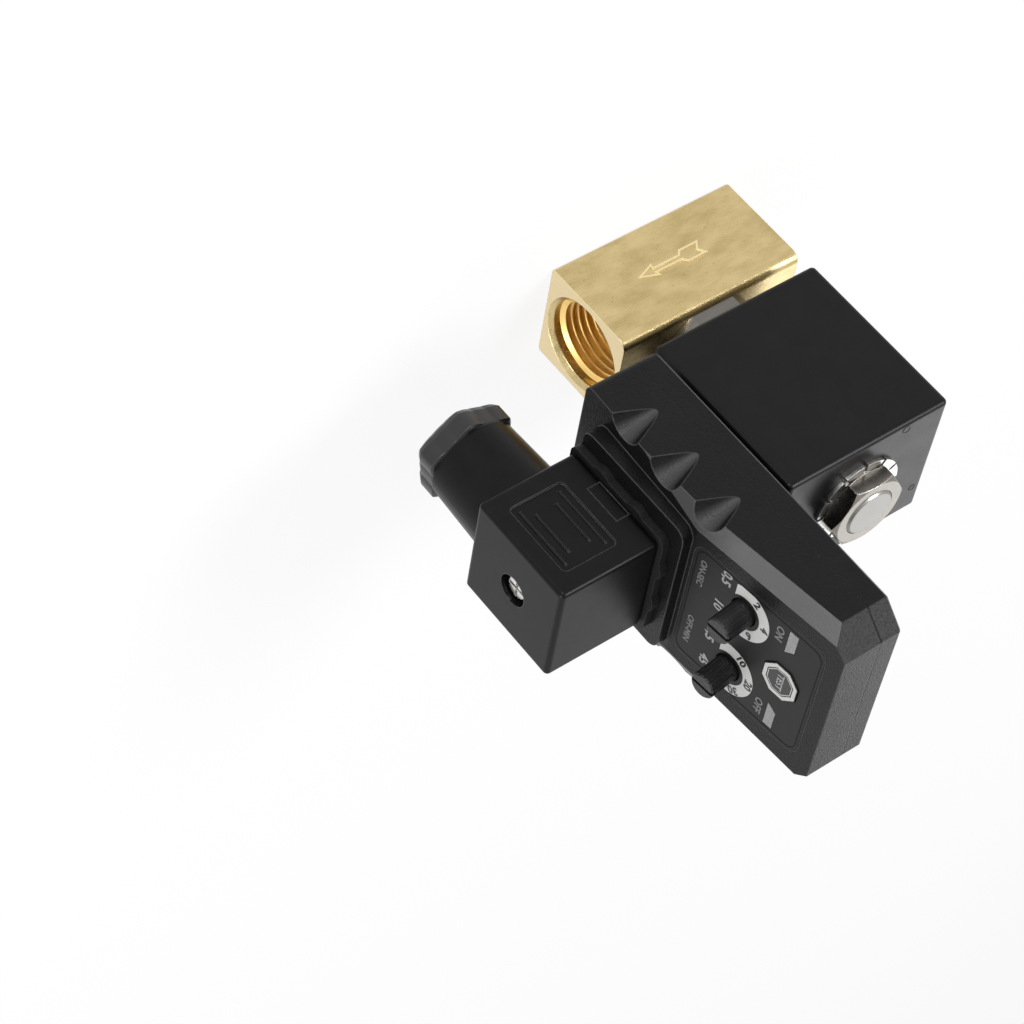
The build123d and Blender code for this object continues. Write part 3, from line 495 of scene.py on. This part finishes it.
bobbin_nylon = Finish("bobbin_nylon")
haze = bobbin_nylon.grain(2 * MM, detail=4.0)
bobbin_nylon.feed("Base Color", bobbin_nylon.blend(haze, (0.50, 0.48, 0.40), (0.62, 0.60, 0.53)))
bobbin_nylon.feed("Roughness", haze * 0.2 + 0.4)
bobbin_nylon.relief(haze, 0.02 * MM)
clad(bobbin_nylon, "coil_bobbin")

winding = Finish("enamelled_copper", metallic=0.9)
turns = winding.grain(0.18 * MM, stretch=(80.0, 80.0, 1.0))
winding.feed("Base Color", winding.blend(turns, (0.24, 0.06, 0.02), (0.60, 0.22, 0.08)))
winding.feed("Roughness", turns * 0.2 + 0.16)
winding.relief(turns, 0.08 * MM)
clad(winding, "coil_winding")

tinned = Finish("tinned_brass", metallic=1.0)
solder = tinned.grain(0.8 * MM, detail=4.0)
tinned.feed("Base Color", tinned.blend(solder, (0.58, 0.58, 0.57), (0.80, 0.80, 0.79)))
tinned.feed("Roughness", solder * 0.2 + 0.18)
tinned.relief(solder, 0.01 * MM, rounding=0.1 * MM)
clad(tinned, "coil_terminals", "timer_socket_contacts", "timer_blades", "connector_contacts")

# ----------------------------------------------------------- washer and nut
# Toothed lock washer of zinc-plated spring steel and a chamfered nickel-plated
# hexagon nut. They clamp the coil down on the tube's threaded end.
zinc = Finish("zinc_plate", metallic=1.0)
plating = zinc.grain(1.0 * MM, detail=5.0)
zinc.feed("Base Color", zinc.blend(plating, (0.46, 0.45, 0.43), (0.78, 0.77, 0.75)))
zinc.feed("Roughness", plating * 0.24 + 0.2)
zinc.relief(plating, 0.02 * MM, rounding=0.15 * MM)
clad(zinc, "lock_washer")

nickel = Finish("nickel_plate", metallic=1.0)
brushing = nickel.grain(0.15 * MM, stretch=(1.0, 12.0, 1.0))
spots = nickel.grain(2.5 * MM, detail=5.0)
# The corners are coloured much paler: partly rubbed plating and partly a painted highlight.
rubbed_and_highlit_corners = nickel.edges(0.3 * MM)
satin = nickel.blend(spots, (0.14, 0.13, 0.115), (0.30, 0.28, 0.25))
nickel.feed("Base Color", nickel.blend(rubbed_and_highlit_corners * 0.6, satin, (0.74, 0.71, 0.66)))
nickel.feed("Roughness", brushing * 0.12 + spots * 0.14 + 0.14)
nickel.relief(brushing, 0.006 * MM, rounding=0.3 * MM)
clad(nickel, "coil_nut")

# ------------------------------------------------------------------ gaskets
# Flat moulded rubber gaskets between coil, timer and connector, squeezed
# until a thin lip shows all round.
gasket = Finish("gasket_rubber", specular=0.2)
dust = gasket.grain(0.8 * MM, detail=5.0)
gasket.feed("Base Color", gasket.blend(dust, (0.004, 0.004, 0.0045), (0.012, 0.012, 0.013)))
gasket.feed("Roughness", dust * 0.25 + 0.42)
gasket.relief(dust, 0.03 * MM, rounding=0.3 * MM)
clad(gasket, "coil_gasket", "connector_gasket")

# --------------------------------------------------------------- timer case
# Two shells of black ABS snapped together, both with a fine spark texture
# from the mould. Walls slanting between side and front, such as grips and
# bevels, are coloured paler as a painted highlight. The edges carry a painted
# highlight too, and a black line painted at the joint between the shells
# stands for the shade in its groove.
slant_highlight_least = 0.06
slant_highlight_gain = 9.0
seam_shade_half = 0.18
abs_black = Finish("timer_abs", specular=0.15)
spark = abs_black.grain(0.5 * MM, detail=4.0)
cloud = abs_black.grain(9 * MM, detail=3.0)
rim_highlight = abs_black.edges(0.4 * MM)
case_skin = abs_black.blend(cloud, (0.0015, 0.0015, 0.0018), (0.005, 0.005, 0.0054))
speckled = abs_black.blend(spark * 0.5, case_skin, (0.008, 0.008, 0.0085))
wall_normal = abs_black.node("ShaderNodeNewGeometry", {}, {}, "Normal")
wall_x = abs_black.node("ShaderNodeSeparateXYZ", {}, {"Vector": wall_normal}, "X")
wall_y = abs_black.node("ShaderNodeSeparateXYZ", {}, {"Vector": wall_normal}, "Y")
# Painted highlight: walls facing half sideways and half to the front are coloured paler.
slant_highlight = abs_black.node(
    "ShaderNodeMath",
    {"operation": "MULTIPLY", "use_clamp": True},
    {0: wall_x * wall_x * wall_y * wall_y - slant_highlight_least, 1: slant_highlight_gain},
)
bevel_highlighted = abs_black.blend(slant_highlight, speckled, (0.085, 0.085, 0.087))
# Painted highlight: every edge of the case is coloured pale grey.
rims_highlighted = abs_black.blend(rim_highlight * 0.7, bevel_highlighted, (0.10, 0.10, 0.102))
# Painted shade: a near-black band round the case at the joint stands for the shadow in its groove.
seam_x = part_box("timer_front_shell")[0].x
case_x = abs_black.node("ShaderNodeSeparateXYZ", {}, {"Vector": abs_black.place}, "X")
from_seam = (case_x - seam_x) * (1 / MM)
seam_shade = 1 - (from_seam * from_seam > seam_shade_half ** 2)
abs_black.feed("Base Color", abs_black.blend(seam_shade, rims_highlighted, (0.001, 0.001, 0.001)))
abs_black.feed("Roughness", spark * 0.16 + cloud * 0.08 + 0.22)
abs_black.relief(spark, 0.14 * MM, rounding=0.45 * MM)
clad(abs_black, "timer_rear_shell", "timer_front_shell")

socket_grey = Finish("socket_nylon")
moulded = socket_grey.grain(0.4 * MM, detail=3.0)
socket_grey.feed("Base Color", socket_grey.blend(moulded, (0.08, 0.08, 0.08), (0.13, 0.13, 0.13)))
socket_grey.feed("Roughness", moulded * 0.2 + 0.4)
socket_grey.relief(moulded, 0.01 * MM, rounding=0.2 * MM)
clad(socket_grey, "timer_socket", "timer_plug")

# ------------------------------------------------------------ control panel
# Printed polycarbonate film in a shallow recess, with a near-black line round its
# edge that is painted shade for the groove there, white dials behind the two
# knobs, and plain numbers and words.
film = Finish("faceplate_film", specular=0.16)
film_grain = film.grain(0.2 * MM, detail=2.0)
smear = film.grain(7 * MM, detail=4.0)
film.feed("Base Color", film.blend(smear, (0.006, 0.006, 0.0065), (0.016, 0.016, 0.017)))
film.feed("Roughness", smear * 0.16 + film_grain * 0.12 + 0.28)
film.relief(film_grain, 0.012 * MM, rounding=0.2 * MM)
clad(film, "timer_faceplate")


def ink(name, thin, thick, roughness=0.38, dot=0.25 * MM, detail=3.0):
    """Screen-printed ink, a little uneven in its colour and its gloss."""
    made = Finish(name)
    screen = made.grain(dot, detail)
    made.feed("Base Color", made.blend(screen, thin, thick))
    made.feed("Roughness", screen * 0.2 + roughness)
    made.relief(screen, 0.004 * MM)
    return made


ink_white = ink("white_ink", (0.34, 0.34, 0.33), (0.48, 0.48, 0.47))
ink_pale = ink("pale_grey_ink", (0.17, 0.17, 0.17), (0.30, 0.30, 0.30))
ink_faint = ink("faint_grey_ink", (0.08, 0.08, 0.08), (0.15, 0.15, 0.15))
ink_black = ink("black_ink", (0.008, 0.008, 0.008), (0.02, 0.02, 0.02), 0.3, 0.2 * MM, 2.0)

panel_normal = Vector(joints["on_time_turn"]["axis"]).normalized()
panel_up = panel_normal.cross(Vector((0, 1, 0)))
on_dial = Vector(joints["on_time_turn"]["pos_m"])
dial_row = 15.35 * MM
panel_origin = Vector((on_dial.x, 0, on_dial.z)) - panel_up * dial_row
panel_axes = Matrix((Vector((0, 1, 0)), panel_up, panel_normal)).transposed()
panel = Matrix.Translation(panel_origin) @ panel_axes.to_4x4()

ink_low = -0.03 * MM
ink_high = 0.03 * MM
text_high = 0.05 * MM

dial_outer = 7.0 * MM
dial_inner = 4.3 * MM
dial_half_angle = radians(115)
inner_half_angle = acos(dial_outer * cos(dial_half_angle) / dial_inner)
dial_steps = 40


def band(sheet, outer, inner, low, high, at):
    """A flat band between two open rows of points, closed at both ends."""
    rows = [
        [sheet.verts.new(at @ Vector((x, y, height))) for x, y in points]
        for points, height in ((outer, low), (outer, high), (inner, high), (inner, low))
    ]
    for first, second in zip(rows, rows[1:] + rows[:1]):
        for i in range(len(outer) - 1):
            sheet.faces.new((first[i], first[i + 1], second[i + 1], second[i]))
    for end in (0, -1):
        sheet.faces.new([row[end] for row in rows])


# Each dial is a horseshoe round its knob, with its two feet cut off level.
dial_print = bmesh.new()
dial_spots = (on_dial.y, -on_dial.y)
dial_rim = circle(dial_outer, dial_steps, pi / 2 - dial_half_angle, pi / 2 + dial_half_angle)
dial_hole = circle(dial_inner, dial_steps, pi / 2 - inner_half_angle, pi / 2 + inner_half_angle)
for across in dial_spots:
    spot = panel @ Matrix.Translation((across, dial_row, 0))
    band(dial_print, dial_rim, dial_hole, ink_low, ink_high, spot)
piece("dial_rings", dial_print, ink_white, "valve")

capital_share = 0.7


def lettering(name, lines, finish, weight=0.03, body="valve", lift=0.0):
    """Printed words: rows of (text, across, up, height, turn) on the panel."""
    sheet = bmesh.new()
    for words, across, up, height, turn in lines:
        curve = bpy.data.curves.new(name, "FONT")
        curve.body = words
        curve.size = height / capital_share
        curve.align_x = "CENTER"
        curve.align_y = "CENTER"
        curve.extrude = (text_high - ink_low) / 2
        curve.offset = weight * height
        curve.resolution_u = 3
        text = bpy.data.objects.new(name, curve)
        mesh = bpy.data.meshes.new_from_object(text)
        middle_height = (text_high + ink_low) / 2 + lift
        mesh.transform(
            panel @ Matrix.Translation((across, up, middle_height)) @ Matrix.Rotation(turn, 4, "Z")
        )
        sheet.from_mesh(mesh)
        bpy.data.meshes.remove(mesh)
        bpy.data.objects.remove(text)
        bpy.data.curves.remove(curve)
    for face in sheet.faces:
        face.smooth = False
    return piece(name, sheet, finish, body)


number_radius = 5.7 * MM
number_height = 1.9 * MM
number_turn = radians(62)
dial_numbers = []
for across, labels in ((dial_spots[0], ("2", "4", "6")), (dial_spots[1], ("10", "20", "30"))):
    for label, turn in zip(labels, (number_turn, 0.0, -number_turn)):
        number_x = across - number_radius * sin(turn)
        number_y = dial_row + number_radius * cos(turn)
        dial_numbers.append((label, number_x, number_y, number_height, turn))
lettering("dial_numbers", dial_numbers, ink_black, 0.06)
lettering(
    "panel_words",
    [
        ("0,5", -14.6 * MM, 9.6 * MM, 2.3 * MM, 0.0),
        ("10", -5.6 * MM, 9.3 * MM, 2.3 * MM, 0.0),
        ("0,5", 4.6 * MM, 9.3 * MM, 2.3 * MM, 0.0),
        ("45", 13.2 * MM, 9.4 * MM, 2.3 * MM, 0.0),
    ],
    ink_pale,
    0.035,
)
lettering(
    "panel_captions",
    [
        ("ON-SEC", -10.0 * MM, 3.6 * MM, 1.55 * MM, 0.0),
        ("OFF-MIN", 8.4 * MM, 3.9 * MM, 1.55 * MM, 0.0),
        ("ON", -12.6 * MM, 24.6 * MM, 1.9 * MM, 0.0),
        ("OFF", 12.2 * MM, 24.6 * MM, 1.9 * MM, 0.0),
    ],
    ink_faint,
)

line_half = 16.6 * MM
line_low = 1.5 * MM
line_high = 35.6 * MM
line_corner = 2.6 * MM
line_width = 0.28 * MM


def rounded(half_width, low, high, corner, steps=7):
    """A rounded rectangle about the panel's middle line, counter-clockwise."""
    points = []
    for side_x, y, start in (
        (half_width - corner, low + corner, -pi / 2),
        (half_width - corner, high - corner, 0.0),
        (corner - half_width, high - corner, pi / 2),
        (corner - half_width, low + corner, pi),
    ):
        for x_part, y_part in circle(corner, steps, start, start + pi / 2):
            points.append((side_x + x_part, y + y_part))
    return points


# Painted shade: a near-black line round the film stands for the shadow in the groove at its edge.
groove_shade_sheet = bmesh.new()
line_rim = rounded(line_half, line_low, line_high, line_corner)
plate(groove_shade_sheet, line_rim, inset(line_rim, line_width), ink_low, text_high, panel)
groove_shade_ink = Finish("panel_groove_painted_shade", specular=0.1)
groove_shade_mottle = groove_shade_ink.grain(1.0 * MM, detail=4.0)
groove_shade_ink.feed("Base Color", groove_shade_ink.blend(groove_shade_mottle, (0.002, 0.002, 0.002), (0.007, 0.007, 0.007)))
groove_shade_ink.feed("Roughness", groove_shade_mottle * 0.2 + 0.3)
groove_shade_ink.relief(groove_shade_mottle, 0.01 * MM)
piece("panel_groove_shade", groove_shade_sheet, groove_shade_ink, "valve")

# --------------------------------------------- knobs, TEST button and lights
# Knurled nylon knobs with a screwdriver slot, a push button with a white
# eight-sided printed ring, and two frosted windows over the indicator lights.
knob_nylon = Finish("knob_nylon", specular=0.4)
knob_grain = knob_nylon.grain(0.25 * MM, detail=3.0)
# Painted highlight: the knobs' edges are coloured paler.
knob_edge_highlight = knob_nylon.edges(0.2 * MM)
knob_skin = knob_nylon.blend(knob_grain, (0.005, 0.005, 0.006), (0.014, 0.014, 0.015))
knob_nylon.feed("Base Color", knob_nylon.blend(knob_edge_highlight * 0.4, knob_skin, (0.08, 0.08, 0.082)))
knob_nylon.feed("Roughness", knob_grain * 0.2 + 0.24)
knurl = knob_nylon.grain(0.3 * MM, stretch=(40.0, 1.0, 1.0))
knob_nylon.relief(knurl, 0.16 * MM, rounding=0.15 * MM)
clad(knob_nylon, "on_time_knob", "off_time_knob")

button_nylon = Finish("button_nylon")
button_grain = button_nylon.grain(0.3 * MM, detail=3.0)
button_skin = button_nylon.blend(button_grain, (0.008, 0.008, 0.009), (0.020, 0.020, 0.021))
button_nylon.feed("Base Color", button_skin)
button_nylon.feed("Roughness", button_grain * 0.2 + 0.3)
button_nylon.relief(button_grain, 0.01 * MM, rounding=0.2 * MM)
clad(button_nylon, "test_button")

button_row = 28.0 * MM
button_flats = 9.0 * MM
button_proud = 0.3 * MM
ring_outer_inset = 0.3 * MM
ring_outer_width = 0.85 * MM
ring_inner_inset = 2.6 * MM
ring_inner_width = 0.16 * MM


def octagon(flats):
    """An eight-sided outline with that size across its flats."""
    corner = flats / 2 / cos(pi / 8)
    return circle(corner, 8, pi / 8, pi / 8 + 2 * pi)


button_top = panel @ Matrix.Translation((0, button_row, button_proud))
ring_print = bmesh.new()
for margin, width in ((ring_outer_inset, ring_outer_width), (ring_inner_inset, ring_inner_width)):
    rim = octagon(button_flats - margin)
    plate(ring_print, rim, inset(rim, width), ink_low, ink_high, button_top)
piece("test_ring", ring_print, ink_white, "test_button")
test_line = [("TEST", 0.0, button_row, 1.6 * MM, 0.0)]
lettering("test_word", test_line, ink_pale, 0.03, "test_button", button_proud)

lens = Finish("window_acrylic")
frost = lens.grain(0.6 * MM, detail=4.0)
lens.feed("Base Color", lens.blend(frost, (0.13, 0.13, 0.13), (0.24, 0.24, 0.24)))
lens.feed("Roughness", frost * 0.2 + 0.15)
lens.relief(frost, 0.01 * MM, rounding=0.15 * MM)
clad(lens, "on_window", "off_window")

led = Finish("led_epoxy")
led_swirl = led.grain(0.8 * MM)
led.feed("Base Color", led.blend(led_swirl, (0.42, 0.04, 0.03), (0.58, 0.10, 0.08)))
led.feed("Roughness", led_swirl * 0.1 + 0.12)
led.relief(led_swirl, 0.004 * MM)
clad(led, "on_led", "off_led")

# -------------------------------------------------------------- timer's works
# Green circuit board across the case, with two trimming potentiometers and a
# small push switch soldered on it behind the knobs and the button.
board = Finish("board_laminate")
weave = board.grain(0.35 * MM, stretch=(1.0, 1.0, 3.0))
board.feed("Base Color", board.blend(weave, (0.012, 0.09, 0.03), (0.03, 0.16, 0.06)))
board.feed("Roughness", weave * 0.2 + 0.25)
board.relief(weave, 0.01 * MM)
clad(board, "circuit_board")

potted = Finish("component_plastic")
potted_grain = potted.grain(0.3 * MM, detail=3.0)
potted.feed("Base Color", potted.blend(potted_grain, (0.012, 0.012, 0.014), (0.03, 0.03, 0.033)))
potted.feed("Roughness", potted_grain * 0.2 + 0.35)
potted.relief(potted_grain, 0.01 * MM, rounding=0.15 * MM)
clad(potted, "on_time_potentiometer", "off_time_potentiometer", "test_switch")

# ---------------------------------------------------------- cable connector
# Square black nylon connector. Its flanks have a sunk panel with four raised
# lines and a latch for opening it, and its barrel takes the cable gland.
shell_nylon = Finish("connector_nylon", specular=0.15)
shell_cloud = shell_nylon.grain(4 * MM, detail=4.0)
shell_grain = shell_nylon.grain(0.2 * MM, detail=2.0)
# Painted highlight: every edge is coloured pale grey, which also outlines the ribs and latches.
shell_edge_highlight = shell_nylon.edges(0.3 * MM)
shell_skin = shell_nylon.blend(shell_cloud, (0.001, 0.001, 0.0013), (0.004, 0.004, 0.0044))
shell_nylon.feed("Base Color", shell_nylon.blend(shell_edge_highlight * 0.7, shell_skin, (0.12, 0.12, 0.122)))
shell_nylon.feed("Roughness", shell_cloud * 0.14 + shell_grain * 0.1 + 0.2)
shell_nylon.relief(shell_grain + shell_cloud, 0.012 * MM, rounding=0.4 * MM)
clad(shell_nylon, "connector_housing", "connector_insert")

shell_low, shell_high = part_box("connector_housing")
screw_z = (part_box("centre_screw")[0].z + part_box("centre_screw")[1].z) / 2
rib_panel_x = shell_high.x - 10.7 * MM
rib_panel_sunk = 0.5 * MM
rib_sunk = 0.05 * MM
rib_height = 0.45 * MM
rib_width = 0.9 * MM
rib_end = 0.4 * MM
rib_end_share = 0.3
rib_points = 7
rib_rows = ((-5.0 * MM, 7.8 * MM), (-2.6 * MM, 5.6 * MM), (2.6 * MM, 5.6 * MM), (5.0 * MM, 7.8 * MM))
rib_arch = circle(1.0, rib_points, 0.0, pi)
ribs = bmesh.new()
for side in (-1, 1):
    for across, half_length in rib_rows:
        ends = []
        for end, share in (
            (-half_length, rib_end_share),
            (rib_end - half_length, 1.0),
            (half_length - rib_end, 1.0),
            (half_length, rib_end_share),
        ):
            arch = []
            for x_part, rise in rib_arch:
                x = rib_panel_x + across + x_part * rib_width / 2
                y = shell_high.y - rib_panel_sunk - rib_sunk + rise * rib_height * share
                arch.append(ribs.verts.new((x, side * y, screw_z + end)))
            ends.append(arch)
        for here, after in zip(ends, ends[1:]):
            for i in range(rib_points - 1):
                ribs.faces.new((here[i], here[i + 1], after[i + 1], after[i]))
            ribs.faces.new((here[0], here[-1], after[-1], after[0]))
        ribs.faces.new(ends[0])
        ribs.faces.new(ends[-1])
piece("flank_ribs", ribs, shell_nylon, "valve")

latch_rear = 0.4 * MM
latch_front = 3.9 * MM
latch_half = 4.9 * MM
latch_line = 0.3 * MM
latch_sunk = 0.05 * MM
latch_proud = 0.07 * MM
latches = bmesh.new()
for side in (-1, 1):
    flank = Matrix.Translation((shell_low.x, side * shell_high.y, screw_z)) @ Matrix(
        ((1, 0, 0, 0), (0, 0, side, 0), (0, 1, 0, 0), (0, 0, 0, 1))
    )
    latch_rim = [
        (latch_rear, -latch_half),
        (latch_front, -latch_half),
        (latch_front, latch_half),
        (latch_rear, latch_half),
    ]
    plate(latches, latch_rim, inset(latch_rim, latch_line), -latch_sunk, latch_proud, flank)
piece("flank_latches", latches, shell_nylon, "valve")

# --------------------------------------------------------------- cable gland
# Ribbed black nylon nut that squeezes a rubber seal round the cable through
# a thin slip ring.
gland_nylon = Finish("gland_nylon", specular=0.45)
gland_grain = gland_nylon.grain(0.3 * MM, detail=3.0)
# Painted highlight: the nut's edges are coloured paler, picking out the lobes.
gland_edge_highlight = gland_nylon.edges(0.35 * MM)
gland_skin = gland_nylon.blend(gland_grain, (0.006, 0.006, 0.0065), (0.014, 0.014, 0.015))
gland_nylon.feed("Base Color", gland_nylon.blend(gland_edge_highlight * 0.4, gland_skin, (0.10, 0.10, 0.102)))
gland_nylon.feed("Roughness", gland_grain * 0.18 + 0.24)
gland_nylon.relief(gland_grain, 0.012 * MM, rounding=0.35 * MM)

nut_low, nut_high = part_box("gland_nut")
nut_axis_x = (nut_low.x + nut_high.x) / 2
nut_lobes = 6
nut_lobe_rise = 1.5 * MM
nut_lobe_share = 0.62
nut_lobe_bulge = 0.8
nut_lobe_overhang = 0.4 * MM
nut_first_lobe = radians(8)
nut_body = (nut_high.y - nut_low.y) / 2 - nut_lobe_rise + nut_lobe_overhang
nut_bore = 4.8 * MM
nut_spigot = 7.9 * MM
nut_profile = (
    (nut_bore, nut_high.z, 0.0),
    (nut_spigot, nut_high.z, 0.0),
    (nut_spigot, shell_low.z, 0.0),
    (nut_body - 0.4 * MM, shell_low.z, 0.9),
    (nut_body, shell_low.z - 0.4 * MM, 1.0),
    (nut_body, nut_low.z + 2.2 * MM, 1.0),
    (nut_body - 0.5 * MM, nut_low.z + 1.1 * MM, 0.85),
    (nut_body - 1.4 * MM, nut_low.z + 0.3 * MM, 0.5),
    (nut_body - 2.4 * MM, nut_low.z, 0.2),
    (nut_bore + 0.5 * MM, nut_low.z, 0.0),
    (nut_bore, nut_low.z + 0.5 * MM, 0.0),
)
nut_steps = 24 * nut_lobes
nut_sheet = bmesh.new()
nut_columns = []
for step in range(nut_steps):
    turn = 2 * pi * step / nut_steps
    phase = (turn - nut_first_lobe) / (2 * pi / nut_lobes) % 1.0
    rise = nut_lobe_rise * max(0.0, 1 - abs(phase - 0.5) * 2 / nut_lobe_share) ** nut_lobe_bulge
    column = []
    for radius, height, share in nut_profile:
        reach = radius + rise * share
        spot = (nut_axis_x + reach * cos(turn), reach * sin(turn), height)
        column.append(nut_sheet.verts.new(spot))
    nut_columns.append(column)
for here, after in zip(nut_columns, nut_columns[1:] + nut_columns[:1]):
    for i in range(len(nut_profile)):
        j = (i + 1) % len(nut_profile)
        nut_sheet.faces.new((here[i], here[j], after[j], after[i]))
lobed_nut = piece("gland_nut_lobed", nut_sheet, gland_nylon, "valve")
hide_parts("gland_nut")

slip_nylon = Finish("slip_ring_nylon")
slip_grain = slip_nylon.grain(0.5 * MM, detail=3.0)
slip_nylon.feed("Base Color", slip_nylon.blend(slip_grain, (0.38, 0.37, 0.33), (0.52, 0.51, 0.47)))
slip_nylon.feed("Roughness", slip_grain * 0.2 + 0.35)
slip_nylon.relief(slip_grain, 0.01 * MM)
clad(slip_nylon, "gland_washer", "screw_washer")

# ------------------------------------------------------------- centre screw
# One long zinc-plated cross-head M3 screw that pulls the connector, the timer
# and both gaskets onto the coil.
screw_steel = Finish("screw_zinc", metallic=1.0)
screw_spots = screw_steel.grain(0.7 * MM, detail=4.0)
screw_steel.feed("Base Color", screw_steel.blend(screw_spots, (0.62, 0.61, 0.58), (0.84, 0.83, 0.80)))
screw_steel.feed("Roughness", screw_spots * 0.18 + 0.14)
screw_steel.relief(screw_spots, 0.008 * MM, rounding=0.15 * MM)
clad(screw_steel, "centre_screw")
